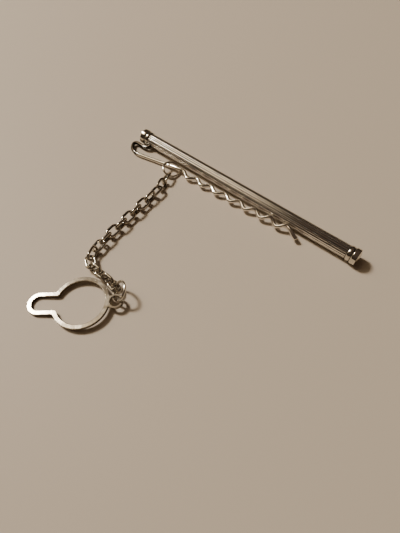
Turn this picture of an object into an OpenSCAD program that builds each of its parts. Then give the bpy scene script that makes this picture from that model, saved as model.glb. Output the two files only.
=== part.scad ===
// Tie bar with a waved spring wire, a chain and a button loop, lying on a table.
// Millimetres, +Z up, the table at z = 0. The bar runs along +X and its chain side faces -Y.

/* [Bar] */
// Distance between the middles of the two end caps
cap_spacing = 59.5; // [55:0.5:70]
// Diameter of the tube over its reeds
bar_d = 3.15; // [2.9:0.05:3.3]
// Number of reeds round the tube
reed_count = 15; // [12:1:18]
// Radius of one reed's rounded back
reed_r = 0.48; // [0.42:0.01:0.6]

/* [End caps] */
// Diameter of a cap's wide outer band
cap_d = 3.8; // [3.7:0.05:3.9]
// Length of the wide band
band_l = 1.3; // [1.2:0.05:1.6]
// Diameter over the rounded bead next to the tube
bead_d = 3.55; // [3.4:0.05:3.6]
// Length of the bead
bead_l = 1.15; // [1:0.05:1.4]
// Depth of the groove between bead and band, under the bead's back
groove_depth = 0.22; // [0.15:0.01:0.3]
// Height of the shallow dome on the cap's end
dome_h = 0.4; // [0.2:0.05:0.5]

/* [Spring wire] */
// Diameter of the spring wire
wire_d = 0.92; // [0.8:0.02:1]
// Length of one wave of the wire
wave_pitch = 4.22; // [4.16:0.01:4.24]
// Number of waves
wave_count = 7; // [6:1:7]
// Half width of the first wave's middle line, across the bar
wave_half_w = 0.55; // [0.45:0.01:0.56]
// Half height of the last wave's middle line, which tilts up towards the bar
wave_half_h = 0.3; // [0.2:0.01:0.36]

/* [Rings and chain] */
// Outer diameter of the two jump rings
ring_d = 4.7; // [4.6:0.05:4.8]
// Wire diameter of the jump rings
ring_wire_d = 0.56; // [0.5:0.02:0.6]
// Outer width of a chain link
link_w = 2.5; // [2.4:0.05:2.5]
// Wire diameter of a chain link
link_wire_d = 0.6; // [0.52:0.01:0.6]

/* [Button loop] */
// Radius of the loop's round opening
eye_r = 4.95; // [4.6:0.05:5.1]
// Width of the flat metal band round the openings
band_w = 0.9; // [0.8:0.02:1]
// Thickness of the plate
plate_t = 0.65; // [0.5:0.05:0.7]
// Half width of the slot's opening
slot_half_w = 1.6; // [1.4:0.05:1.8]
// Radius of the ear's hole
ear_hole_r = 1.12; // [1.1:0.01:1.2]

/* [Hidden] */
LINK_COUNT = 17;
function two_digits(i) = str(i < 10 ? "0" : "", i);
function link_name(i) = str("link_", two_digits(i));
$fn = 96;

// Gap between pieces that sit in or on each other
fit_gap = 0.05;

// Bar and caps
bar_r = bar_d / 2;
cap_r = cap_d / 2;
axis_z = cap_r;
cap_l = band_l + bead_l;
reed_valley_core = bar_r - 0.2;
spigot_r = 1.15;
spigot_l = 1.7;
tube_l = cap_spacing - cap_l - 2 * fit_gap;

// Middle of the left cap, along the bar
cap_x = 0.8;

// Where the wire enters the tube, just past the left cap
root_x = cap_x + cap_l / 2 + 0.62;

// Waves: the middle of the first near side, and the waves' middle line, which nears the bar and
// rises along it; the waves lie flat at first, and then tilt and narrow little by little
wire_r = wire_d / 2;
wave_first_x = 17.7;
wave_y = -3.5;
wave_lean = 0.031;
wave_z = 1;
wave_rise = 0.02;
wave_narrow = 0.05;
wave_twist = 0.1;

// Rings
ring_wire_r = ring_wire_d / 2;
ring_mid_r = ring_d / 2 - ring_wire_r;
ring_split = 3;

// Chain: one link's middle line, and the distance from link to link
link_wire_r = link_wire_d / 2;
link_half_w = link_w / 2 - link_wire_r;
link_pitch = 2.5;
link_gap = 0.08;
link_straight = link_pitch + link_wire_d + link_gap - 2 * link_half_w;

// Button loop: places along its long axis, from the middle of the round opening
plate_outer_r = eye_r + band_w;
slot_end = -8.35;
ear_at = 7.02;
ear_r = ear_hole_r + 0.52;
neck_fillet = 0.7;
overlap = 0.01;
neck_from = plate_outer_r - band_w / 2;
neck_half_w = 0.8 * ear_r;
loop_x = 23.4;
loop_y = -44;
loop_turn = 39.5;
loop_lean = 3.2;
slot_reach = slot_half_w + band_w - slot_end;
loop_z = slot_reach * sin(loop_lean) + plate_t / 2 * cos(loop_lean);

// Vectors
function unit(v) = v / norm(v);
function smooth(t) = let (c = min(1, max(0, t))) c * c * (3 - 2 * c);

// The whole model's middle on the table: from the wire's bend to the right cap's dome, and from
// the far side of the caps to the slot's end
low_y = loop_y + slot_end * cos(loop_lean) * sin(loop_turn) - slot_half_w - band_w;
high_x = cap_x + cap_spacing + cap_l / 2 + dome_h;
function low_x() = min([for (p = WIRE_LINE) p.x]) - wire_r;
function middle_x() = (low_x() + high_x) / 2;
function middle_y() = (cap_r + low_y) / 2;

// Moves a piece from its place along the bar and across the table to the model's own origin
module placed() {
    translate([-middle_x(), -middle_y(), 0]) children();
}

// Turns a piece's +Z to a direction
module facing(direction) {
    d = unit(direction);
    rotate([0, acos(d.z), atan2(d.y, d.x)]) children();
}

// One rounded reed tube, solid, with a turned spigot on each end and the wire's hole near the left
module bar() {
    color([0.83, 0.81, 0.78])
    placed()
    translate([cap_x + cap_l / 2 + fit_gap, 0, axis_z])
    difference() {
        rotate([0, 90, 0]) {
            linear_extrude(tube_l) {
                circle(r = reed_valley_core);
                for (i = [0:reed_count - 1])
                    rotate(i * 360 / reed_count)
                        translate([bar_r - reed_r, 0]) circle(r = reed_r, $fn = 48);
            }
            translate([0, 0, -spigot_l]) cylinder(r = spigot_r, h = tube_l + 2 * spigot_l);
        }
        translate([root_x - cap_x - cap_l / 2 - fit_gap, 0, 0])
            facing(root_out) cylinder(r = wire_r + fit_gap, h = bar_d);
    }
}

// Half section of a cap, radius along x and length along y, the open end at y = 0
module cap_section() {
    bead_r = bead_d / 2;
    arc_r = (pow(bead_l / 2, 2) + pow(groove_depth, 2)) / (2 * groove_depth);
    shoulder = 0.3;
    rim = 0.12;
    dome_half = cap_r - 0.25;
    dome_arc = (pow(dome_half, 2) + pow(dome_h, 2)) / (2 * dome_h);
    bore = spigot_r + fit_gap;
    difference() {
        union() {
            intersection() {
                translate([bead_r - arc_r, bead_l / 2]) circle(r = arc_r);
                square([bead_r, bead_l]);
            }
            square([bead_r - groove_depth - fit_gap, bead_l + shoulder]);
            translate([0, bead_l]) square([cap_r - shoulder, band_l]);
            translate([0, bead_l + shoulder]) square([cap_r, band_l - shoulder - rim]);
            translate([0, bead_l]) square([cap_r - rim, band_l]);
            intersection() {
                translate([0, cap_l + dome_h - dome_arc]) circle(r = dome_arc);
                translate([0, cap_l - rim]) square([dome_half, dome_h + rim]);
            }
        }
        translate([-1, -1]) square([bore + 1, spigot_l + fit_gap + 1]);
    }
}

// A turned end cap, its open end towards the tube
module cap() {
    color([0.8, 0.78, 0.75])
    rotate_extrude() intersection() {
        cap_section();
        square([cap_r, cap_l + dome_h]);
    }
}

module cap_left() {
    placed() translate([cap_x + cap_l / 2, 0, axis_z]) rotate([0, -90, 0]) cap();
}

module cap_right() {
    placed() translate([cap_x + cap_spacing - cap_l / 2, 0, axis_z]) rotate([0, 90, 0]) cap();
}

// Direction in which the wire leaves the tube
root_out = [0, -1, -0.45];

// Points of the wire's bend, from inside the tube round to the waves: x, y, z
BEND = [
    [root_x, -0.5, axis_z - 0.225],
    [root_x, -1.62, axis_z - 0.72],
    [2.1, -2.3, 0.98],
    [1.2, -2.42, 0.9],
    [0.2, -2.42, 0.9],
    [-0.8, -2.36, 0.88],
    [-1.48, -2.62, 0.8],
    [-1.62, -3.25, 0.72],
    [-1.25, -3.95, 0.64],
    [-0.6, -4.6, 0.6],
    [0.3, -5, 0.6],
    [1.4, -5.2, 0.6],
    [2.6, -5.12, 0.6],
    [3.9, -4.85, 0.6],
    [6.9, -4.2, 0.6],
    [10, -3.62, 0.72],
    [12.3, -3.35, 1.08],
    [14.3, -3.16, 1.3],
    [15.6, -3.04, 1.2]
];

// Points of the wire's free end, past the last wave, from where that wave ends: x, y, z
TAIL = [
    [1.07, -0.35, -0.1],
    [2.27, -0.95, -0.45],
    [3.37, -1.3, -0.85]
];

// Waves: s counts them from the middle of the first near side, and their tilt grows to the last
wave_from = -0.25;
wave_to = wave_count - 0.5;
function along(s) = s * wave_pitch;
function grown(s) = min(1, max(0, s / wave_to));
function wave(s) = [
    wave_first_x + along(s),
    wave_y + wave_lean * along(s) - (wave_half_w - wave_narrow * grown(s)) * cos(360 * s),
    wave_z + wave_rise * along(s)
        - grown(s) * (wave_half_h * cos(360 * s) - wave_twist * sin(360 * s))
];

wave_steps = 14;
wave_points = ceil((wave_to - wave_from) * wave_steps);
WAVES = [for (i = [0:wave_points]) wave(wave_from + i * (wave_to - wave_from) / wave_points)];

// A smooth curve through points, each span bent to the directions of its neighbours
function way(points, i) =
    unit(points[min(i + 1, len(points) - 1)] - points[max(i - 1, 0)]);
function bent(points, i, t) =
    let (
        a = points[i],
        b = points[i + 1],
        reach = norm(b - a),
        u = t * t,
        w = u * t
    )
    (2 * w - 3 * u + 1) * a + (w - 2 * u + t) * reach * way(points, i)
    + (3 * u - 2 * w) * b + (w - u) * reach * way(points, i + 1);

bend_step = 0.55;
WAVE_END = WAVES[wave_points];
BEND_THEN_WAVE = concat(BEND, [WAVES[0], WAVES[1]]);
WAVE_THEN_TAIL = concat([WAVES[wave_points - 1], WAVE_END], [for (p = TAIL) WAVE_END + p]);
function span_steps(points, i) = max(1, ceil(norm(points[i + 1] - points[i]) / bend_step));
BEND_LINE = [for (i = [0:len(BEND) - 1]) let (n = span_steps(BEND_THEN_WAVE, i))
    for (k = [0:n - 1]) bent(BEND_THEN_WAVE, i, k / n)];
TAIL_LINE = [for (i = [1:len(WAVE_THEN_TAIL) - 2]) let (n = span_steps(WAVE_THEN_TAIL, i))
    for (k = [1:n]) bent(WAVE_THEN_TAIL, i, k / n)];
WIRE_LINE = concat(BEND_LINE, WAVES, TAIL_LINE);

// Swept wire: a ring of points square to the line at each of its points, closed at both ends
wire_sides = 10;
function ring_at(points, i, r) =
    let (
        t = way(points, i),
        side = unit(cross(t, [0, 0, 1])),
        up = cross(side, t)
    )
    [for (k = [0:wire_sides - 1])
        points[i] + r * (cos(360 * k / wire_sides) * side + sin(360 * k / wire_sides) * up)];

// The free end swells and is rounded off over its last rings
flare = 1.18;
function radius_at(i, count) =
    let (back = count - 1 - i)
    wire_r * (1 + (flare - 1) * smooth(1 - back / 4)) * (back == 0 ? 0.72 : 1);

module swept_wire(points) {
    count = len(points);
    skin = [for (i = [0:count - 1]) each ring_at(points, i, radius_at(i, count))];
    walls = [for (i = [0:count - 2], k = [0:wire_sides - 1])
        let (
            a = i * wire_sides + k,
            b = i * wire_sides + (k + 1) % wire_sides
        )
        each [[a, b, b + wire_sides], [a, b + wire_sides, a + wire_sides]]];
    start = [for (k = [wire_sides - 1:-1:0]) k];
    end = [for (k = [0:wire_sides - 1]) (count - 1) * wire_sides + k];
    polyhedron(points = skin, faces = concat(walls, [start, end]), convexity = 10);
}

module spring_wire() {
    color([0.82, 0.8, 0.77]) placed() swept_wire(WIRE_LINE);
}

// A jump ring round its own +Z, cut through where split_at says
module jump_ring(split_at) {
    color([0.84, 0.82, 0.79])
    rotate([0, 0, split_at + ring_split / 2])
        rotate_extrude(angle = 360 - ring_split)
            translate([ring_mid_r, 0]) circle(r = ring_wire_r, $fn = 32);
}

// The ring that slides on the wire: the wire rises through it, so it leans on the wire
WIRE_RING_AT = [12.68, -4.36, 1.11];
WIRE_RING_FACE = [0.355, 0.04, 0.935];
module wire_ring() {
    placed() translate(WIRE_RING_AT) facing(WIRE_RING_FACE) jump_ring(60);
}

// The ring that stands in the ear's hole
LOOP_RING_AT = [28.05, -37.65, 2.05];
LOOP_RING_FACE = [-0.5, -0.56, 0.66];
module loop_ring() {
    placed() translate(LOOP_RING_AT) facing(LOOP_RING_FACE) jump_ring(120);
}

// Chain, link by link: heading on the table and roll about its own length, in degrees, the step
// to the next link, shorter where the chain lies slack, and the height of its middle
HEADING = 0;
ROLL = 1;
STEP = 2;
MIDDLE_Z = 3;
LINKS = [
    [-72, 44, 2.54, 1.0],
    [-74, -54, 2.54, 1.09],
    [-84, 14, 2.53, 1.19],
    [-86, -91, 2.54, 1.27],
    [-88, -16, 2.52, 1.27],
    [-88, 72, 2.52, 1.22],
    [-86, -18, 2.52, 1.22],
    [-88, 72, 2.52, 1.22],
    [-88, -18, 2.52, 1.22],
    [-86, 70, 2.52, 1.21],
    [-79, 0, 2.29, 1.12],
    [-71, -72, 2.44, 1.31],
    [-34, -7, 2.13, 1.16],
    [-3, 56, 2.31, 1.13],
    [0, -35, 1.98, 1.36],
    [-2, 67, 1.87, 1.41],
    [-13, -28, 2.4, 1.33]
];
CHAIN_FROM = [13.12, -6.02];
function heading(i) = [cos(LINKS[i][HEADING]), sin(LINKS[i][HEADING])];
function joint(i) = i == 0 ? CHAIN_FROM : joint(i - 1) + LINKS[i - 1][STEP] * heading(i - 1);

// One oval link, its length along x, flat in x and y
module link_shape() {
    for (end = [-1, 1]) {
        translate([end * link_straight / 2, 0, 0])
            rotate([0, 0, -90 * end])
                rotate_extrude(angle = 180) translate([link_half_w, 0]) circle(r = link_wire_r, $fn = 32);
        translate([-link_straight / 2, end * link_half_w, 0])
            rotate([0, 90, 0]) cylinder(r = link_wire_r, h = link_straight, $fn = 32);
    }
}

module chain_link(i) {
    row = LINKS[i - 1];
    middle = (joint(i - 1) + joint(i)) / 2;
    color([0.72, 0.7, 0.66])
    placed()
    translate([middle.x, middle.y, row[MIDDLE_Z]])
        rotate([0, 0, row[HEADING]])
            rotate([row[ROLL], 0, 0]) link_shape();
}

// Keyhole outline: a round eye and a slot with a round end, with a small hollow arc in each corner
// between them, which touches the eye's circle and the slot's edge
module keyhole(eye, half_w, fillet) {
    centre = [-sqrt(pow(eye + fillet, 2) - pow(half_w + fillet, 2)), half_w + fillet];
    touch = centre * eye / (eye + fillet);
    difference() {
        union() {
            circle(r = eye);
            translate([slot_end, 0]) circle(r = half_w);
            translate([slot_end, -half_w]) square([-slot_end, 2 * half_w]);
            translate([centre.x, -touch.y]) square([touch.x - centre.x + fillet, 2 * touch.y]);
        }
        for (side = [-1, 1])
            translate([centre.x, side * centre.y]) circle(r = fillet + overlap);
    }
}

// The flat loop with its slot, its round eye and the ear with a hole
module button_loop() {
    color([0.85, 0.84, 0.81])
    placed()
    translate([loop_x, loop_y, loop_z])
    rotate([0, 0, loop_turn])
    rotate([0, -loop_lean, 0])
    translate([0, 0, -plate_t / 2])
    difference() {
        linear_extrude(plate_t) {
            keyhole(plate_outer_r, slot_half_w + band_w, neck_fillet);
            translate([ear_at, 0]) circle(r = ear_r);
            translate([neck_from, -neck_half_w]) square([ear_at - neck_from, 2 * neck_half_w]);
        }
        translate([0, 0, -1]) linear_extrude(plate_t + 2) {
            keyhole(eye_r, slot_half_w, neck_fillet);
            translate([ear_at, 0]) circle(r = ear_hole_r);
        }
    }
}

bar();
cap_left();
cap_right();
spring_wire();
wire_ring();
loop_ring();
button_loop();
for (i = [1:LINK_COUNT])
    chain_link(i);
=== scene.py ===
# %% [markdown]
# # A silver tie bar, piece by piece
#
# A tie bar of this kind has two halves. The bar with its spring wire grips the tie and the shirt
# front. The fine chain runs to a flat keyhole loop that hangs from a shirt button, so that the bar
# can't be lost. Here it lies on a pale table with its chain thrown into a loose curve.
#
# The sizes come from a measured solid model that is loaded first. Each piece is then made again as
# a smooth surface, because polished metal shows every flat facet of a coarse mesh. Lengths of the
# tie bar are in millimetres here, and Blender gets metres.

import bpy
import numpy as np
from mathutils import Matrix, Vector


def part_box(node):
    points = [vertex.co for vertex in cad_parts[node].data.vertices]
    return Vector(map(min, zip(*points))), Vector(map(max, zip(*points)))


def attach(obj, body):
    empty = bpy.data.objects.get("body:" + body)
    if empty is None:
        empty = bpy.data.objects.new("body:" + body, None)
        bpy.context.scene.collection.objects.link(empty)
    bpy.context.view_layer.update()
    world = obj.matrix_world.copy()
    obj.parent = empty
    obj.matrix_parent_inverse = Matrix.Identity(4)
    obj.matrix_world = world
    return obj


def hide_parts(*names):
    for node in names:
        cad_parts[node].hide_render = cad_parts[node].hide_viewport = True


MM = 0.001

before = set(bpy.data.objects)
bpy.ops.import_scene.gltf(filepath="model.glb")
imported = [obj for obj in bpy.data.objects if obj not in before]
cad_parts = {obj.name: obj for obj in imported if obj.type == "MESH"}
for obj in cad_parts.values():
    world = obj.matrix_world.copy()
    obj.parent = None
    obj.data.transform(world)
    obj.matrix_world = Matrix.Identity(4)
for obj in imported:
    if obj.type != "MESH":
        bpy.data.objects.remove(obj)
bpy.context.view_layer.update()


# %% [markdown]
# ## Where the bar lies
#
# It is easiest to think in a frame that belongs to the bar: x runs along it, y goes across the
# table and z is the height. That frame starts on the table, below the left end cap. The two caps of
# the measured model say where this is, so nothing has to be typed twice.

# %% Find the bar's own frame
CAP_END_X = -0.825
left_low, left_high = (np.array(corner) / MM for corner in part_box("cap_left"))
_, right_high = (np.array(corner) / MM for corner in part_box("cap_right"))
ORIGIN = np.array([left_low[0] - CAP_END_X, (left_low[1] + left_high[1]) / 2, 0.0])
CAP_R = (left_high[2] - left_low[2]) / 2
AXIS_Z = (left_high[2] + left_low[2]) / 2
RIGHT_CAP_END_X = right_high[0] - ORIGIN[0]


def to_model(points):
    """Points of the bar's frame in millimetres, moved to the model's origin and turned into metres."""
    return (np.asarray(points, float) + ORIGIN) * MM


print("bar frame starts at", ORIGIN.round(3), "cap radius", round(CAP_R, 3), "axis height", round(AXIS_Z, 3))

# %% [markdown]
# ## From a grid of points to a mesh
#
# Nearly every piece here is a grid: rows of points that go round, one row after the other along the
# piece. One helper turns such a grid into a mesh and closes its ends. It also keeps one number at
# each point, the recess, which tells how deep in a groove that point lies; on the spring wire's bend
# the same number carries painted shade. The metal's shader reads it later and darkens the low places.
#
# Smooth shading hides the small faces. Only edges sharper than a given angle stay crisp, such as the
# rim where a flat end meets the side.


# %% A helper that builds a piece from a grid
CRISP_ANGLE = 50


def grid_faces(rows, turns, loop_along):
    """The faces of a grid whose points are numbered row by row. Each face joins two neighbours on a
    row with the same two on the next, and the last point of a row is a neighbour of its first. If
    loop_along is set the last row joins the first one, and otherwise a flat face shuts each end."""
    i = np.arange(rows if loop_along else rows - 1)[:, None]
    k = np.arange(turns)[None, :]
    i_next, k_next = (i + 1) % rows, (k + 1) % turns
    corners = (i * turns + k, i * turns + k_next, i_next * turns + k_next, i_next * turns + k)
    faces = np.stack(np.broadcast_arrays(*corners), -1).reshape(-1, 4).tolist()
    if not loop_along:
        faces += [list(range(turns))[::-1], list(range((rows - 1) * turns, rows * turns))]
    return faces


def smooth_piece(name, mesh, crisp_angle):
    """A piece that shows the mesh with smooth shading, but for edges sharper than the angle."""
    mesh.shade_smooth()
    mesh.set_sharp_from_angle(angle=np.radians(crisp_angle))
    piece = bpy.data.objects.new(name, mesh)
    bpy.context.scene.collection.objects.link(piece)
    return piece


def piece_from_grid(name, grid, recess_and_shade=0.0, loop_along=False):
    """A piece from grid[along, around]. The recess is 0 on the backs of the form and 1 down in its
    grooves, and on the spring wire's bend it is painted shade: one number, or an array that numpy can
    spread over the grid's rows and turns."""
    rows, turns = grid.shape[:2]
    mesh = bpy.data.meshes.new(name)
    mesh.from_pydata(to_model(grid.reshape(-1, 3)).tolist(), [], grid_faces(rows, turns, loop_along))
    depth = mesh.attributes.new("recess_and_shade", "FLOAT", "POINT")
    depth.data.foreach_set("value", np.broadcast_to(recess_and_shade, (rows, turns)).flatten())
    return smooth_piece(name, mesh, CRISP_ANGLE)


# %% [markdown]
# A new piece then stands in for one piece of the measured model. It is also told which finish it
# gets. The finishes come last, so the list of pieces waits for them.

# %% Hand a piece to the model
PIECES = []


def show(piece, node, slot):
    """The piece stands for a measured node, moves with the part and takes that slot's finish."""
    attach(piece, "root")
    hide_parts(node)
    PIECES.append((piece, slot))
    size = (np.array(piece.dimensions) / MM).round(2)
    print(f"{node}: {len(piece.data.polygons)} faces, size in mm {size}")


# %% [markdown]
# ## The reeded tube
#
# The bar is a tube with fifteen raised reeds along it. A real one is rolled or drawn through a die,
# which leaves rounded backs with a narrow, sharp valley between neighbours. Seen from the end the
# outline is a ring of circles, and only the outer part of each circle shows. So the radius at an
# angle is where a ray from the middle leaves the reed's circle. The same outline runs from cap to
# cap, and a thinner round spigot goes on into each cap, with a fine gap round it. The deeper a point
# lies in a valley, the lower it counts for the tarnish.

# %% Make the reeded bar
BAR_R = 3.15 / 2
REED_COUNT, REED_R = 15, 0.48
CAP_LENGTH, DOME = 2.45, 0.4
SPIGOT_R, SPIGOT_LENGTH = 1.15, 1.7
GAP = 0.05
TUBE_FROM = CAP_END_X + DOME + CAP_LENGTH + GAP
TUBE_TO = RIGHT_CAP_END_X - DOME - CAP_LENGTH - GAP
POINTS_A_REED, STATIONS = 20, 40


def reed_radius(angle):
    """Distance from the bar's middle to its skin. Reed circles of radius r sit at distance c from the
    middle; at an angle a off a reed's own middle the skin is at c cos a + sqrt(r^2 - c^2 sin^2 a)."""
    c = BAR_R - REED_R
    share = 2 * np.pi / REED_COUNT
    off = (angle + share / 2) % share - share / 2
    return c * np.cos(off) + np.sqrt(REED_R**2 - (c * np.sin(off)) ** 2)


def round_axis(along, out, angle):
    """Points round the bar's axis, which is at height h. The one at distance r and angle a has
    y = -r sin a and z = h + r cos a."""
    along, out, angle = np.broadcast_arrays(along, out, angle)
    return np.stack([along, -out * np.sin(angle), AXIS_Z + out * np.cos(angle)], -1)


angle = np.linspace(0, 2 * np.pi, REED_COUNT * POINTS_A_REED, endpoint=False)
skin = reed_radius(angle)
spigot = np.full_like(angle, SPIGOT_R)
radii = np.stack([spigot, spigot, *[skin] * STATIONS, spigot, spigot])
left_end = [TUBE_FROM - SPIGOT_LENGTH, TUBE_FROM]
right_end = [TUBE_TO, TUBE_TO + SPIGOT_LENGTH]
along_bar = np.concatenate([left_end, np.linspace(TUBE_FROM, TUBE_TO, STATIONS), right_end])
valley = (skin.max() - skin) / (skin.max() - skin.min())
show(piece_from_grid("reeded_bar", round_axis(along_bar[:, None], radii, angle), valley), "bar", "bar")

# %% [markdown]
# ## The turned end caps
#
# Each cap comes off a lathe: a rounded bead next to the tube, a narrow groove, a wider band with
# soft edges and a low dome on the end. A turned form needs only half its section. Carried round the
# bar's axis, that line of points becomes the whole cap. What lies below the band's skin counts as
# low, apart from the dome, which every cloth reaches.

# %% Make the two end caps
BEAD_LENGTH, BEAD_R, BEAD_RISE = 1.15, 3.55 / 2, 0.22
GROOVE_DEPTH, GROOVE_WIDTH = 0.03, 0.04
BAND_START, SHOULDER_R, RIM_R = BEAD_LENGTH + 0.02, 0.3, 0.12
DOME_R, TIP_ANGLE = CAP_R - 0.25, 0.4
LOW_BY, BAND_EDGE = 0.35, 0.1


def arc(centre, radius, start, end, steps):
    """Points on a circle between two angles in degrees, as (along, out) pairs: the centre plus the
    radius times the angle's cosine and sine."""
    a = np.radians(np.linspace(start, end, steps))
    return np.stack([centre[0] + radius * np.cos(a), centre[1] + radius * np.sin(a)], -1)


def low_arc(width, rise):
    """Radius of the circle over a chord of that width whose top is the rise above the chord, and the
    angle in degrees between its top and either end."""
    radius = ((width / 2) ** 2 + rise**2) / (2 * rise)
    return radius, np.degrees(np.arcsin(width / 2 / radius))


def cap_section():
    """Half section from the bottom of the spigot's hole out to the dome's tip, as (along, out) pairs."""
    hole_r, floor = SPIGOT_R + GAP, BEAD_R - BEAD_RISE - GROOVE_DEPTH
    hole = np.array([[SPIGOT_LENGTH + GAP, hole_r], [0, hole_r]])
    bead_arc, lean = low_arc(BEAD_LENGTH, BEAD_RISE)
    bead = arc((BEAD_LENGTH / 2, BEAD_R - bead_arc), bead_arc, 90 + lean, 90 - lean, 28)
    groove = np.array([[BEAD_LENGTH, floor], [BEAD_LENGTH + GROOVE_WIDTH, floor]])
    shoulder = arc((BAND_START + SHOULDER_R, CAP_R - SHOULDER_R), SHOULDER_R, 178, 90, 14)
    rim = arc((CAP_LENGTH - RIM_R, CAP_R - RIM_R), RIM_R, 90, 0, 10)
    dome_arc, lean = low_arc(2 * DOME_R, DOME)
    dome = arc((CAP_LENGTH + DOME - dome_arc, 0), dome_arc, lean, TIP_ANGLE, 24)
    return np.concatenate([hole, bead, groove, shoulder, rim, dome])


section = cap_section()
along, out = section[:, :1], section[:, 1:]
low_spot = np.clip((CAP_R - out) / LOW_BY, 0, 1) * (along < CAP_LENGTH - BAND_EDGE)
around = np.linspace(0, 2 * np.pi, 160, endpoint=False)
for node, start_x, direction in (
    ("cap_left", CAP_END_X + DOME + CAP_LENGTH, -1),
    ("cap_right", RIGHT_CAP_END_X - DOME - CAP_LENGTH, 1),
):
    turned = round_axis(start_x + direction * along, out, direction * around)
    show(piece_from_grid(node + "_turned", turned, low_spot), node, "caps")

# %% [markdown]
# ## The spring wire
#
# One hard-drawn wire leaves the tube behind the left cap, turns back in a tight bend, runs straight
# and then goes along the bar in waves. The waves give it spring and keep the tie from sliding out. A
# jeweller bends them round pegs, flat on the bench, and the last ones have tilted a little in use.
#
# The waves follow a formula, so their number and length can be changed in one place.

# %% Draw the waves
WAVES_START, WAVES_END = -0.25, 6.5
WAVE_X, WAVE_Y, WAVE_Z = 17.7, -3.5, 1.0
PITCH, NEARER, HIGHER = 4.22, 0.031, 0.02
SWING, SWING_LOSS = 0.55, 0.05
TILT_SIN, TILT_COS = 0.1, 0.3
WAVE_STEPS = 7 * 54


def wave(s):
    """The wire's middle at wave number s, which is s pitches along. Across the bar it swings by
    -w cos(2 pi s), where w starts as SWING and loses SWING_LOSS on the way, about a middle that gets
    NEARER to the bar and HIGHER with each millimetre. The height also swings by TILT_SIN sin(2 pi s)
    - TILT_COS cos(2 pi s), times a share that grows from 0 at the first wave to 1 at the last."""
    swing, gone = 2 * np.pi * s, PITCH * s
    share = np.clip(s / WAVES_END, 0, 1)
    y = WAVE_Y + NEARER * gone - (SWING - SWING_LOSS * share) * np.cos(swing)
    z = WAVE_Z + HIGHER * gone + share * (TILT_SIN * np.sin(swing) - TILT_COS * np.cos(swing))
    return np.stack([WAVE_X + gone, y, z], -1)


waves = wave(np.linspace(WAVES_START, WAVES_END, WAVE_STEPS))
print("waves:", len(waves), "points from x", waves[0, 0].round(2), "to", waves[-1, 0].round(2), "mm")

# %% [markdown]
# The bend and the straight part are a smooth curve through listed points, and so is the tail after
# the last wave. Where they meet the waves, each curve is drawn one point further than it is needed
# and then cut, so that the wire has no kink there.

# %% Draw the bend and the tail
ROOT_X = 2.645
BEND = [
    [ROOT_X, -0.5, AXIS_Z - 0.225],
    [ROOT_X, -1.62, AXIS_Z - 0.72],
    [2.1, -2.3, 0.98],
    [1.2, -2.42, 0.9],
    [0.2, -2.42, 0.9],
    [-0.8, -2.36, 0.88],
    [-1.48, -2.62, 0.8],
    [-1.62, -3.25, 0.72],
    [-1.25, -3.95, 0.64],
    [-0.6, -4.6, 0.6],
    [0.3, -5.0, 0.6],
    [1.4, -5.2, 0.6],
    [2.6, -5.12, 0.6],
    [3.9, -4.85, 0.6],
    [6.9, -4.2, 0.6],
    [10.0, -3.62, 0.72],
    [12.3, -3.35, 1.08],
    [14.3, -3.16, 1.3],
    [15.6, -3.04, 1.2],
]
TAIL = np.array([[1.07, -0.35, -0.1], [2.27, -0.95, -0.45], [3.37, -1.3, -0.85]])
BEND_STEPS, TAIL_STEPS = 12, 14


def unit(v):
    """Each vector divided by its own length."""
    v = np.asarray(v, float)
    return v / np.linalg.norm(v, axis=-1, keepdims=True)


def smooth_through(points, steps):
    """A curve through the points. Between two of them it is a cubic that starts and ends in the
    direction from the point before to the point after, as strong as the span is long."""
    p = np.asarray(points, float)
    way = unit(np.concatenate([p[1:2] - p[:1], p[2:] - p[:-2], p[-1:] - p[-2:-1]]))
    a, b = p[:-1, None], p[1:, None]
    reach = np.linalg.norm(b - a, axis=-1, keepdims=True)
    t = np.linspace(0, 1, steps, endpoint=False)[None, :, None]
    u, w = t**2, t**3
    spans = (2 * w - 3 * u + 1) * a + (w - 2 * u + t) * reach * way[:-1, None]
    spans = spans + (3 * u - 2 * w) * b + (w - u) * reach * way[1:, None]
    return np.concatenate([spans.reshape(-1, 3), p[-1:]])


lead_in = smooth_through([*BEND, waves[0], waves[4]], BEND_STEPS)[: len(BEND) * BEND_STEPS]
run_out = smooth_through([waves[-5], waves[-1], *(waves[-1] + TAIL)], TAIL_STEPS)[TAIL_STEPS + 1 :]
wire_line = np.concatenate([lead_in, waves, run_out])
from_root = np.concatenate([[0], np.cumsum(np.linalg.norm(np.diff(wire_line, axis=0), axis=-1))])
print("spring wire:", len(wire_line), "points,", round(from_root[-1], 1), "mm of wire")

# %% [markdown]
# A wire is a circle carried along its middle line. The free end is hammered a little wider and
# rounded off, so that it doesn't catch in the silk. The tight bend behind the cap gets painted shade,
# for the cap's shadow on it and the dark it reflects: it is marked as a low place, so that the shader
# darkens it as it darkens the grooves of the bar.

# %% Make the spring wire
WIRE_R = 0.46
FLARE, FLARE_LENGTH = 0.18, 2.0
TIP_SHARE, TIP_LENGTH = 0.72, 0.35
DARKEST, DARK_LENGTH, FADE_LENGTH = 0.95, 13, 3


def wire_along(line, radius, sides, loop=False):
    """A round wire: at each point of the line a circle of the given radius stands square to the line.
    Its side direction is the line's direction crossed with up, and its own up is square to both. The
    point at angle a is the middle plus the radius times (own up cos a + side sin a). That way round
    the faces look outwards."""
    line = np.asarray(line, float)
    if loop:
        ahead = np.roll(line, -1, 0) - np.roll(line, 1, 0)
    else:
        ahead = np.gradient(line, axis=0)
    ahead = unit(ahead)
    side = unit(np.cross(ahead, [0.0, 0.0, 1.0]))
    up = np.cross(side, ahead)
    turn = np.linspace(0, 2 * np.pi, sides, endpoint=False)[None, :, None]
    r = np.broadcast_to(radius, len(line))[:, None, None]
    return line[:, None] + r * (np.cos(turn) * up[:, None] + np.sin(turn) * side[:, None])


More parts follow.
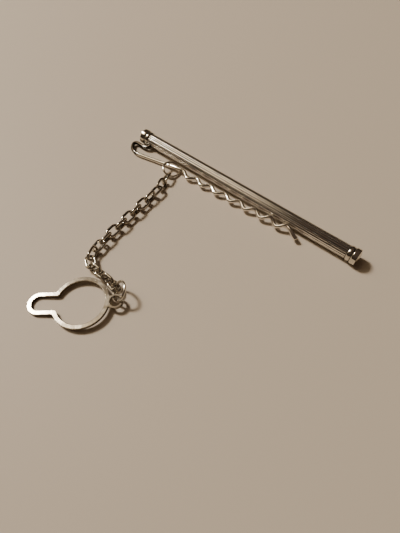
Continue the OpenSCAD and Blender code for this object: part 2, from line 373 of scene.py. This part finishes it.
left_over = from_root[-1] - from_root
swell = np.clip(1 - left_over / FLARE_LENGTH, 0, 1)
swell = swell**2 * (3 - 2 * swell)
tip = np.clip(left_over / TIP_LENGTH, 0, 1)
round_end = TIP_SHARE + (1 - TIP_SHARE) * np.sqrt(1 - (1 - tip) ** 2)
wire_radius = WIRE_R * (1 + FLARE * swell) * round_end
# painted shade on the bend behind the cap: full for the first 10 mm of wire, gone by 13 mm
painted_bend_shade = DARKEST * np.clip((DARK_LENGTH - from_root) / FADE_LENGTH, 0, 1)
wire_grid = wire_along(wire_line, wire_radius, 28)
show(piece_from_grid("spring_wire_drawn", wire_grid, painted_bend_shade[:, None]), "spring_wire", "wire")

# %% [markdown]
# ## Jump rings
#
# A jump ring is cut from a coil, slipped through its neighbours and pushed shut, and the fine cut
# stays visible. One ring slides on the wire. The other stands in the hole of the button loop's ear.
# Each is drawn flat as an almost closed circle, tipped until its axis points the right way, and then
# carried to its place.

# %% Make the two jump rings
RING_WIRE_R = 0.28
RING_R = 4.7 / 2 - RING_WIRE_R
RING_CUT = 3.0
X, Y, Z = 0, 1, 2


def about(axis, angle):
    """The rotation by an angle about X, Y or Z. It leaves that axis alone and turns the two after it
    into each other, by the cosine and sine of the angle."""
    turn = np.eye(3)
    a, b = (axis + 1) % 3, (axis + 2) % 3
    turn[a, a] = turn[b, b] = np.cos(angle)
    turn[b, a], turn[a, b] = np.sin(angle), -np.sin(angle)
    return turn


def turn_to(direction):
    """The rotation that takes +Z to a direction: first about Y by its angle from +Z, then about Z."""
    d = unit(direction)
    return about(Z, np.arctan2(d[1], d[0])) @ about(Y, np.arccos(d[2]))


def jump_ring(at, face, cut_at):
    """A wire bent on a circle with a fine cut, its axis along face, its middle at a point."""
    a = np.radians(cut_at + RING_CUT / 2 + np.linspace(0, 360 - RING_CUT, 170))
    circle = np.stack([RING_R * np.cos(a), RING_R * np.sin(a), 0 * a], -1)
    return wire_along(circle, RING_WIRE_R, 24) @ turn_to(face).T + np.array(at)


for node, at, face, cut_at in (
    ("wire_ring", [12.68, -4.36, 1.11], [0.355, 0.04, 0.935], 60),
    ("loop_ring", [28.05, -37.65, 2.05], [-0.5, -0.56, 0.66], 120),
):
    show(piece_from_grid(node + "_bent", jump_ring(at, face, cut_at)), node, "rings")

# %% [markdown]
# ## The chain
#
# A cable chain is the same oval link many times over, each one passed through the last and soldered.
# A table gives the heading of each link on the table top and how far it rolls over, both in degrees,
# then the step to the next link and the height of its middle. Where the chain lies straight, every
# second link lies nearly flat and the ones between stand on edge, about a quarter turn apart. Near
# the ring it twists over into that rhythm, and the steps get shorter where it lies slack.

# %% Lay out the chain
CHAIN_FROM = np.array([13.12, -6.02])
LINKS = np.array(
    [
        [-72, 44, 2.54, 1.0],
        [-74, -54, 2.54, 1.09],
        [-84, 14, 2.53, 1.19],
        [-86, -91, 2.54, 1.27],
        [-88, -16, 2.52, 1.27],
        [-88, 72, 2.52, 1.22],
        [-86, -18, 2.52, 1.22],
        [-88, 72, 2.52, 1.22],
        [-88, -18, 2.52, 1.22],
        [-86, 70, 2.52, 1.21],
        [-79, 0, 2.29, 1.12],
        [-71, -72, 2.44, 1.31],
        [-34, -7, 2.13, 1.16],
        [-3, 56, 2.31, 1.13],
        [0, -35, 1.98, 1.36],
        [-2, 67, 1.87, 1.41],
        [-13, -28, 2.4, 1.33],
    ]
)
heading, roll, step, middle_z = LINKS.T
heading, roll = np.radians(heading), np.radians(roll)
ahead = step[:, None] * np.stack([np.cos(heading), np.sin(heading)], -1)
joints = CHAIN_FROM + np.concatenate([[[0, 0]], np.cumsum(ahead, 0)])
middles = np.column_stack([(joints[:-1] + joints[1:]) / 2, middle_z])
print("chain:", len(LINKS), "links,", round(step.sum(), 1), "mm along its joints")

# %% [markdown]
# A link is a wire again, bent into an oval that closes on itself. It is made once, at the origin, and
# then rolled, headed and carried to each place in turn. Its opening is as long as the usual step plus
# a little slack. The nearer a point lies to the middle of the opening, the lower it counts, because
# no cloth gets in there.

# %% Make the links
LINK_WIRE_R = 0.3
LINK_HALF_W = 2.5 / 2 - LINK_WIRE_R
LINK_STEP, LINK_SLACK = 2.5, 0.08
LINK_STRAIGHT = LINK_STEP + 2 * LINK_WIRE_R + LINK_SLACK - 2 * LINK_HALF_W
LOW_WITHIN, LINK_FADE = 0.55, 0.9


def oval(steps=26):
    """A link's middle line: two half circles joined by two straights, all in one plane."""
    a = np.radians(np.linspace(-90, 90, steps))
    bend = np.stack([LINK_STRAIGHT / 2 + LINK_HALF_W * np.cos(a), LINK_HALF_W * np.sin(a), 0 * a], -1)
    x = np.linspace(LINK_STRAIGHT / 2, -LINK_STRAIGHT / 2, 8)[1:-1]
    side = np.stack([x, np.full_like(x, LINK_HALF_W), 0 * x], -1)
    return np.concatenate([bend, side, bend * [-1, -1, 1], side * [-1, -1, 1]])


link_grid = wire_along(oval(), LINK_WIRE_R, 18, loop=True)
from_middle = np.linalg.norm(link_grid[..., :2], axis=-1)
inward = np.clip(1 - (from_middle - LOW_WITHIN) / LINK_FADE, 0, 1)
for number, (middle, head, over) in enumerate(zip(middles, heading, roll), start=1):
    node = f"link_{number:02d}"
    placed = link_grid @ (about(Z, head) @ about(X, over)).T + middle
    show(piece_from_grid(node + "_oval", placed, inward, loop_along=True), node, "chain")

# %% [markdown]
# ## The button loop
#
# The loop is stamped from sheet: a round opening that goes over a shirt button, a slot that closes
# behind it and an ear for the ring. Stamping and tumbling leave slightly rounded edges all round.
#
# Its outline is drawn as three closed lines: the outside, the keyhole and the ear's hole. The upper
# half of the first two is worked out, and the lower half is its mirror image.

# %% Draw the loop's outlines
EYE_R, BAND, SLOT_HALF, SLOT_END = 4.95, 0.9, 1.6, -8.35
EAR_AT, EAR_HOLE_R, EAR_RIM, NECK_FILLET = 7.02, 1.12, 0.52, 0.7
NECK_SHARE = 0.8


def upper_keyhole(eye, half_w, from_angle):
    """Upper half of a keyhole: part of the round eye, a small hollow corner that touches the eye and
    the slot's edge, the straight edge and a quarter of the slot's round end."""
    corner_y = half_w + NECK_FILLET
    corner_x = -np.sqrt((eye + NECK_FILLET) ** 2 - corner_y**2)
    touch = np.degrees(np.arctan2(corner_y, corner_x))
    return np.concatenate(
        [
            arc((0, 0), eye, from_angle, touch, 90),
            arc((corner_x, corner_y), NECK_FILLET, touch - 180, -90, 14)[1:],
            arc((SLOT_END, 0), half_w, 90, 180, 26),
        ]
    )


def with_mirror(upper):
    """The upper half followed by its mirror image, from the far end back to the start."""
    return np.concatenate([upper, (upper * [1, -1])[-2:0:-1]])


ear_r, rim_r = EAR_HOLE_R + EAR_RIM, EYE_R + BAND
neck_half = NECK_SHARE * ear_r
ear = arc((EAR_AT, 0), ear_r, 0, np.degrees(np.pi - np.arcsin(neck_half / ear_r)), 40)
rim = upper_keyhole(rim_r, SLOT_HALF + BAND, np.degrees(np.arcsin(neck_half / rim_r)))
outlines = [
    with_mirror(np.concatenate([ear, rim])),
    with_mirror(upper_keyhole(EYE_R, SLOT_HALF, 0)),
    arc((EAR_AT, 0), EAR_HOLE_R, 0, 360, 49)[:-1],
]
print("loop outlines:", [len(line) for line in outlines], "points")

# %% [markdown]
# Blender's flat curves fill an outline with holes in it, give it a thickness and round its edges, all
# at the same time. The rounding grows outwards, so the outline is first drawn in by as much. The
# filled curve is then kept as a mesh.

# %% Stamp the button loop
PLATE, EDGE = 0.65, 0.09
flat = bpy.data.curves.new("loop_outline", "CURVE")
flat.dimensions = "2D"
flat.fill_mode = "BOTH"
flat.extrude = PLATE / 2 - EDGE
flat.bevel_depth = EDGE
flat.bevel_resolution = 3
flat.offset = -EDGE
for line in outlines:
    spline = flat.splines.new("POLY")
    spline.points.add(len(line) - 1)
    flat_points = np.column_stack([line, np.zeros(len(line)), np.ones(len(line))])
    spline.points.foreach_set("co", flat_points.ravel())
    spline.use_cyclic_u = True
drawing = bpy.data.objects.new("loop_outline", flat)
bpy.context.scene.collection.objects.link(drawing)
stamped = bpy.data.meshes.new_from_object(drawing.evaluated_get(bpy.context.evaluated_depsgraph_get()))
stamped.name = "button_loop_stamped"
bpy.data.objects.remove(drawing)
print("stamped sheet:", len(stamped.vertices), "points")

# %% [markdown]
# The loop lies almost flat, turned across the table. Its ear rides up a little on the ring, so the
# plate leans by a few degrees and rests on the slot's round end.

# %% Lay the loop on the table
LOOP_AT, LOOP_TURN, LOOP_LEAN = [23.4, -44.0], np.radians(39.5), np.radians(3.2)
LOOP_CRISP_ANGLE = 35
points = np.empty(len(stamped.vertices) * 3)
stamped.vertices.foreach_get("co", points)
loop_z = (SLOT_HALF + BAND - SLOT_END) * np.sin(LOOP_LEAN) + PLATE / 2 * np.cos(LOOP_LEAN)
laid = points.reshape(-1, 3) @ (about(Z, LOOP_TURN) @ about(Y, -LOOP_LEAN)).T + [*LOOP_AT, loop_z]
stamped.vertices.foreach_set("co", to_model(laid).ravel())
stamped.update()
show(smooth_piece("button_loop_stamped", stamped, LOOP_CRISP_ANGLE), "button_loop", "loop")

# %% [markdown]
# ## Shared effects for the metal
#
# Old silver plate is never even. Two small node groups hold what all the pieces share. The first
# makes soft clouds, where fingers have polished more or less, and hair-fine scratches. The second
# darkens the places that no cloth reaches: silver turns brown down in the grooves. The same group
# also paints shade on the spring wire's bend.
#
# Both work in millimetres, so the numbers can be read as sizes on the real thing. A group is a node
# tree of its own with named sockets, and each material can place it with its own values.


# %% A helper for node trees
def add(tree, kind, values=(), links=(), **settings):
    """A new node with its settings made, its input values set and its inputs linked."""
    node = tree.nodes.new(kind)
    for key, value in settings.items():
        setattr(node, key, value)
    for key, value in dict(values).items():
        node.inputs[key].default_value = value
    for key, source in dict(links).items():
        tree.links.new(source, node.inputs[key])
    return node


def new_group(name, inputs, outputs):
    """An empty shader group with named sockets: its tree, its inputs' node and its outputs' node."""
    tree = bpy.data.node_groups.new(name, "ShaderNodeTree")
    for label, kind, value in inputs:
        socket = tree.interface.new_socket(label, in_out="INPUT", socket_type=kind)
        if value is not None:
            socket.default_value = value
    for label, kind in outputs:
        tree.interface.new_socket(label, in_out="OUTPUT", socket_type=kind)
    return tree, tree.nodes.new("NodeGroupInput"), tree.nodes.new("NodeGroupOutput")


# %% [markdown]
# Noise gives the clouds. A scratch is where a second noise, drawn out long in one direction, passes
# its middle value: the line where it does is thin and wanders like a hair. The clouds break the
# scratches up, as polishing does. A third, coarse noise makes the metal a little uneven, and its
# height is joined by the scratches, which go down.

# %% Clouds and hair scratches
CLOUD = {"Scale": 0.55, "Detail": 4.0, "Roughness": 0.6}
DRAWN_OUT = {"Rotation": (0.3, 0.2, 0.7), "Scale": (0.6, 11.0, 6.0)}
HAIR = {"Scale": 1.4, "Detail": 2.0, "Distortion": 0.25}
HAIR_LINE = {"From Min": 0.0, "From Max": 0.018, "To Min": 1.0, "To Max": 0.0}
CLOUD_EDGES = {"From Min": 0.42, "From Max": 0.62}
DENTS = {"Scale": 1.1, "Detail": 1.0}
NOISE_MIDDLE, SCRATCH_HEIGHT = 0.5, -0.06

wear, wear_in, wear_out = new_group(
    "Handled metal",
    [("Place in mm", "NodeSocketVector", None), ("Scratch amount", "NodeSocketFloat", 0.5)],
    [("Clouds", "NodeSocketFloat"), ("Scratches", "NodeSocketFloat"), ("Height", "NodeSocketFloat")],
)
place, amount = wear_in.outputs["Place in mm"], wear_in.outputs["Scratch amount"]
clouds = add(wear, "ShaderNodeTexNoise", CLOUD, {"Vector": place})
smear = add(wear, "ShaderNodeMapping", DRAWN_OUT, {"Vector": place})
hair = add(wear, "ShaderNodeTexNoise", HAIR, {"Vector": smear.outputs[0]})
off = add(wear, "ShaderNodeMath", {1: NOISE_MIDDLE}, {0: hair.outputs["Fac"]}, operation="SUBTRACT")
width = add(wear, "ShaderNodeMath", {}, {0: off.outputs[0]}, operation="ABSOLUTE")
line = add(wear, "ShaderNodeMapRange", HAIR_LINE, {"Value": width.outputs[0]})
patches = add(wear, "ShaderNodeMapRange", CLOUD_EDGES, {"Value": clouds.outputs["Fac"]})
broken = add(wear, "ShaderNodeMath", {}, {0: line.outputs[0], 1: patches.outputs[0]}, operation="MULTIPLY")
scratches = add(wear, "ShaderNodeMath", {}, {0: broken.outputs[0], 1: amount}, operation="MULTIPLY")
dents = add(wear, "ShaderNodeTexNoise", DENTS, {"Vector": place})
height = add(
    wear,
    "ShaderNodeMath",
    {1: SCRATCH_HEIGHT},
    {0: scratches.outputs[0], 2: dents.outputs["Fac"]},
    operation="MULTIPLY_ADD",
)
for label, made in (("Clouds", patches), ("Scratches", scratches), ("Height", height)):
    wear.links.new(made.outputs[0], wear_out.inputs[label])
print("group", wear.name, "with", len(wear.nodes), "nodes")

# %% [markdown]
# The tarnish group reads the recess that was kept at each point, which on the spring wire's bend
# is painted shade. The clouds are added to it, so that the dark has no even edge. Reach says how far
# the dark climbs out of the grooves: at 0 it hardly starts, and at 1 it begins on the backs. A Mix
# node has sockets for each kind of value under the same names, so those for colours are picked by
# number.

# %% Tarnish, and painted shade, in the low places
CLOUD_SHARE, ALL_DARK_AT = 0.3, 1.1
MIX_BY, MIX_FROM, MIX_TO, MIXED = 0, 6, 7, 2

# this group paints tarnish in the grooves, and on the spring wire's bend it paints shade
tarnish_and_shade, tarnish_and_shade_in, tarnish_and_shade_out = new_group(
    "Tarnish and painted shade in low places",
    [
        ("Silver", "NodeSocketColor", (0.8, 0.77, 0.72, 1.0)),
        ("Tarnish and shade colour", "NodeSocketColor", (0.16, 0.12, 0.08, 1.0)),
        ("Recess and shade", "NodeSocketFloat", 0.0),
        ("Clouds", "NodeSocketFloat", 0.5),
        ("Reach", "NodeSocketFloat", 0.5),
    ],
    [("Colour", "NodeSocketColor"), ("Mask", "NodeSocketFloat")],
)
given = tarnish_and_shade_in.outputs
uneven = add(
    tarnish_and_shade,
    "ShaderNodeMath",
    {1: CLOUD_SHARE},
    {0: given["Clouds"], 2: given["Recess and shade"]},
    operation="MULTIPLY_ADD",
)
starts = add(tarnish_and_shade, "ShaderNodeMath", {0: 1.0}, {1: given["Reach"]}, operation="SUBTRACT")
mask = add(
    tarnish_and_shade,
    "ShaderNodeMapRange",
    {"From Max": ALL_DARK_AT},
    {"Value": uneven.outputs[0], "From Min": starts.outputs[0]},
    interpolation_type="SMOOTHSTEP",
)
colour = add(
    tarnish_and_shade,
    "ShaderNodeMix",
    {},
    {MIX_BY: mask.outputs[0], MIX_FROM: given["Silver"], MIX_TO: given["Tarnish and shade colour"]},
    data_type="RGBA",
)
tarnish_and_shade.links.new(colour.outputs[MIXED], tarnish_and_shade_out.inputs["Colour"])
tarnish_and_shade.links.new(mask.outputs[0], tarnish_and_shade_out.inputs["Mask"])
print("group", tarnish_and_shade.name, "with", len(tarnish_and_shade.nodes), "nodes")

# %% [markdown]
# ## The metal itself
#
# All the pieces are silver plate, but each was finished its own way: the bar and its wire are bright
# from the polishing wheel and the chain has darkened between its links. The loop's silver is given a
# darker colour, painted shade that makes it reflect the screen as grey. One recipe covers them, with a
# few numbers for each.

# %% The silver plate recipe
BRIGHT = (0.83, 0.795, 0.735)
BROWN = (0.035, 0.026, 0.017)
RELIEF = 0.00001
ROUGHER_BY = {"Clouds": 0.05, "Scratches": 0.12, "Mask": 0.25}


def silver_plate(name, silver, reach, rough, scratch, bump):
    """Metal whose colour comes from the group for tarnish and painted shade. Its roughness is the given
    value plus a share of the clouds, the scratches and that group's mask. Its height is the wear
    group's height in hundredths of a millimetre."""
    material = bpy.data.materials.new(name)
    material.use_nodes = True
    tree = material.node_tree
    metal = tree.nodes["Principled BSDF"]
    metal.inputs["Metallic"].default_value = 1.0
    where = add(tree, "ShaderNodeTexCoord").outputs["Object"]
    in_mm = add(tree, "ShaderNodeVectorMath", {1: (1000.0, 1000.0, 1000.0)}, {0: where}, operation="MULTIPLY")
    here = {"Place in mm": in_mm.outputs[0]}
    handled = add(tree, "ShaderNodeGroup", {"Scratch amount": scratch}, here, node_tree=wear)
    low = add(tree, "ShaderNodeAttribute", attribute_name="recess_and_shade")
    aged_and_shaded = add(
        tree,
        "ShaderNodeGroup",
        {"Silver": (*silver, 1.0), "Tarnish and shade colour": (*BROWN, 1.0), "Reach": reach},
        {"Recess and shade": low.outputs["Fac"], "Clouds": handled.outputs["Clouds"]},
        node_tree=tarnish_and_shade,
    )
    tree.links.new(aged_and_shaded.outputs["Colour"], metal.inputs["Base Color"])
    masks = {**handled.outputs, **aged_and_shaded.outputs}
    so_far = {}
    for label, more in ROUGHER_BY.items():
        links = {0: masks[label], **so_far}
        rougher = add(tree, "ShaderNodeMath", {1: more, 2: rough}, links, operation="MULTIPLY_ADD")
        so_far = {2: rougher.outputs[0]}
    tree.links.new(rougher.outputs[0], metal.inputs["Roughness"])
    bumps = {"Height": handled.outputs["Height"]}
    relief = add(tree, "ShaderNodeBump", {"Strength": bump, "Distance": RELIEF}, bumps)
    tree.links.new(relief.outputs[0], metal.inputs["Normal"])
    return material


# %% [markdown]
# For each finish the numbers are the colour of the clean silver, how far the tarnish and painted shade
# reach out of the low places, the roughness, and how strong scratches and bumps are. The loop's colour
# is darker, as painted shade that makes it reflect the screen as grey, and it is a little rougher.

# %% Finish each piece
FINISHES = {
    "bar": silver_plate("Polished reeded silver", BRIGHT, reach=0.8, rough=0.07, scratch=0.5, bump=0.5),
    "caps": silver_plate(
        "Polished turned silver", (0.7, 0.66, 0.58), reach=0.45, rough=0.08, scratch=0.5, bump=0.5
    ),
    "wire": silver_plate(
        "Drawn silver wire", (0.82, 0.775, 0.69), reach=0.3, rough=0.09, scratch=0.6, bump=0.6
    ),
    "rings": silver_plate("Ring silver", (0.84, 0.8, 0.72), reach=0.0, rough=0.1, scratch=0.5, bump=0.5),
    "chain": silver_plate("Chain silver", (0.55, 0.5, 0.42), reach=0.75, rough=0.1, scratch=0.4, bump=0.5),
    # the loop's dark colour is painted shade: it makes the loop reflect the pale screen as grey
    "loop": silver_plate(
        "Sheet silver darkened as painted shade", (0.3, 0.262, 0.208), reach=0.0, rough=0.13, scratch=0.8, bump=0.8
    ),
}
for piece, slot in PIECES:
    piece.data.materials.clear()
    piece.data.materials.append(FINISHES[slot])
print("finishes:", {name: material.name for name, material in FINISHES.items()})

# %% [markdown]
# ## Table and light
#
# A plain pale table keeps the eye on the metal. Metal shows hardly any colour of its own: it shows
# what stands around it. So the light is built for its reflections. A small lamp far out on the left
# draws crisp shadows, and a large pale screen behind it gives the broad white streaks.

# %% Lay the table
HALF = 0.45
table_mesh = bpy.data.meshes.new("table_top")
table_mesh.from_pydata(
    [(-HALF, -HALF, 0), (HALF, -HALF, 0), (HALF, HALF, 0), (-HALF, HALF, 0)], [], [(0, 1, 2, 3)]
)
table = bpy.data.objects.new("table_top", table_mesh)
bpy.context.scene.collection.objects.link(table)
paint = bpy.data.materials.new("Pale table")
paint.use_nodes = True
paper = paint.node_tree.nodes["Principled BSDF"]
paper.inputs["Base Color"].default_value = (0.53, 0.445, 0.35, 1.0)
paper.inputs["Roughness"].default_value = 0.6
paper.inputs["Specular IOR Level"].default_value = 0.25
table_mesh.materials.append(paint)
print("table", 2 * HALF, "m square")

# %% [markdown]
# One lamp is enough. How large it is sets how soft the shadows' edges are, and it stands more than a
# metre away, so that the light is even over the whole tie bar. A lamp shines along its own -Z, so its
# +Z is turned away from the part.


# %% Set the lamp
def lamp(name, direction, distance, size, watts, colour):
    """A square lamp that looks at the part from a direction, at a distance, in metres."""
    light = bpy.data.lights.new(name, "AREA")
    light.shape = "SQUARE"
    light.size = size
    light.energy = watts
    light.color = colour
    holder = bpy.data.objects.new(name, light)
    bpy.context.scene.collection.objects.link(holder)
    away = unit(direction)
    side = unit(np.cross([0.0, 0.0, 1.0], away))
    columns = np.column_stack([side, np.cross(away, side), away, away * distance])
    holder.matrix_world = Matrix(np.vstack([columns, [0, 0, 0, 1]]))
    return holder


key = lamp("key_lamp", (-0.68, -0.04, 0.73), distance=1.1, size=0.18, watts=13.2, colour=(1.0, 0.95, 0.88))
print("lamp", key.name, "at", [round(value, 2) for value in key.matrix_world.translation], "m")

# %% [markdown]
# The pale screen and the dim room are one picture that surrounds the table. Its brightness depends
# only on the direction: nearly black at the level of the table, dark brown overhead, and a cream
# field high on the left with soft edges. The field's near edge makes the bar's bright band fade out
# halfway along, and the dark between keeps the reeds apart.

# %% Paint the surroundings
LOW_WALL, HIGH_WALL = (0.018, 0.013, 0.008, 1.0), (0.075, 0.052, 0.038, 1.0)
PALE_SCREEN = (2.7, 2.2, 1.5, 1.0)

world = bpy.data.worlds.new("room_with_pale_screen")
bpy.context.scene.world = world
world.use_nodes = True
room = world.node_tree
direction = add(room, "ShaderNodeTexCoord").outputs["Generated"]
parts = add(room, "ShaderNodeSeparateXYZ", {}, {0: direction}).outputs
overhead = add(room, "ShaderNodeMapRange", {"From Min": 0.0, "From Max": 0.8}, {"Value": parts["Z"]})
wall_colours = {MIX_FROM: LOW_WALL, MIX_TO: HIGH_WALL}
walls = add(room, "ShaderNodeMix", wall_colours, {MIX_BY: overhead.outputs[0]}, data_type="RGBA")


def soft_step(value, dark_at, pale_at):
    """0 where the value is at dark_at, 1 at pale_at, with a smooth change between them."""
    edge = {"From Min": dark_at, "From Max": pale_at}
    return add(room, "ShaderNodeMapRange", edge, {"Value": value}, interpolation_type="SMOOTHSTEP").outputs[0]


def times(first, second):
    """The product of two values."""
    return add(room, "ShaderNodeMath", {}, {0: first, 1: second}, operation="MULTIPLY").outputs[0]


near_edge = soft_step(parts["X"], -0.2, -0.4)
far_edge = soft_step(parts["X"], -0.95, -0.85)
left_edge = soft_step(parts["Y"], -0.42, -0.3)
right_edge = soft_step(parts["Y"], 0.22, 0.0)
field = times(times(near_edge, far_edge), times(left_edge, right_edge))
screen = {MIX_BY: field, MIX_FROM: walls.outputs[MIXED]}
seen = add(room, "ShaderNodeMix", {MIX_TO: PALE_SCREEN}, screen, data_type="RGBA")
room.links.new(seen.outputs[MIXED], room.nodes["Background"].inputs["Color"])
print("surroundings:", len(room.nodes), "nodes")

# %% [markdown]
# ## The camera
#
# The picture is taken from in front and to the right, looking down at the table from close by, with
# the bar running down across the frame. The camera's own right, up and back directions say this
# exactly.

# %% Place the camera
RIGHT = (0.776714, 0.629853, 0.0)
UP = (-0.528380, 0.651581, 0.544295)
BACK = (0.342826, -0.422761, 0.838894)
STANDS_AT = [65.493, -58.077, 71.944]

camera_data = bpy.data.cameras.new("camera")
camera_data.sensor_fit = "VERTICAL"
camera_data.sensor_height = 36.0
camera_data.lens = 27.02
camera_data.clip_start = 0.001
camera = bpy.data.objects.new("camera", camera_data)
bpy.context.scene.collection.objects.link(camera)
columns = np.column_stack([RIGHT, UP, BACK, to_model(STANDS_AT)])
camera.matrix_world = Matrix(np.vstack([columns, [0, 0, 0, 1]]))
bpy.context.scene.camera = camera
print("camera stands at", (to_model(STANDS_AT) / MM).round(1), "mm")
